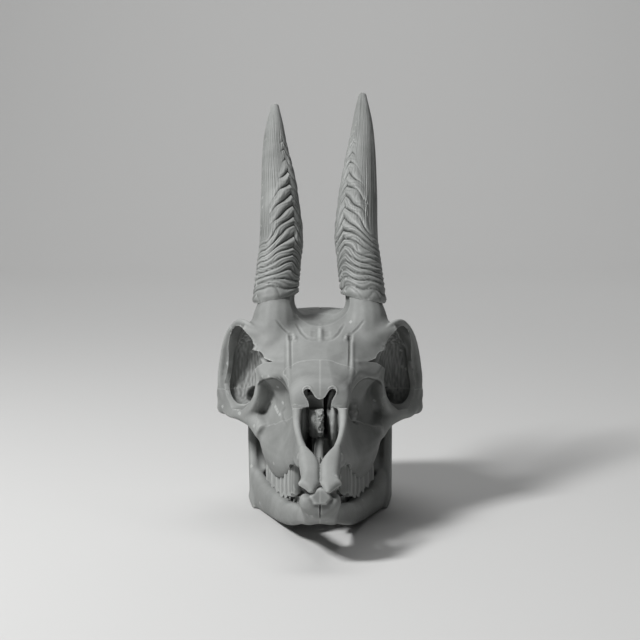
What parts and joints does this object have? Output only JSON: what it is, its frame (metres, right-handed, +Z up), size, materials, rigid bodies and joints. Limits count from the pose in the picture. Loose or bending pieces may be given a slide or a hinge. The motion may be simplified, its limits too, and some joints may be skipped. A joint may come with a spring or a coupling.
{
  "type": "dik-dik skull",
  "caption": "Life-size skull of a small antelope with ringed horns, resting on its lower jaw: braincase, eye sockets, nose bones, cheek teeth and jaw halves.",
  "frame": {"origin": "middle of the skull's length and width, on the floor that the lower jaw rests on", "axes": "-Y the way the face looks, +X the animal's left, +Z up"},
  "size_m": [0.0592, 0.1164, 0.122],
  "materials": {
    "bone": "matte, chalky grey bone",
    "horn": "dull, ribbed grey horn"
  },
  "bodies": {
    "root": {"cranium": "bone", "nasal_left": "bone", "nasal_right": "bone", "premaxilla_left": "bone", "premaxilla_right": "bone", "upper_jaw": "bone", "cheekbone_left": "bone", "cheekbone_right": "bone", "mandible_left": "bone", "mandible_right": "bone", "horn_left": "horn", "horn_right": "horn"}
  },
  "joints": []
}
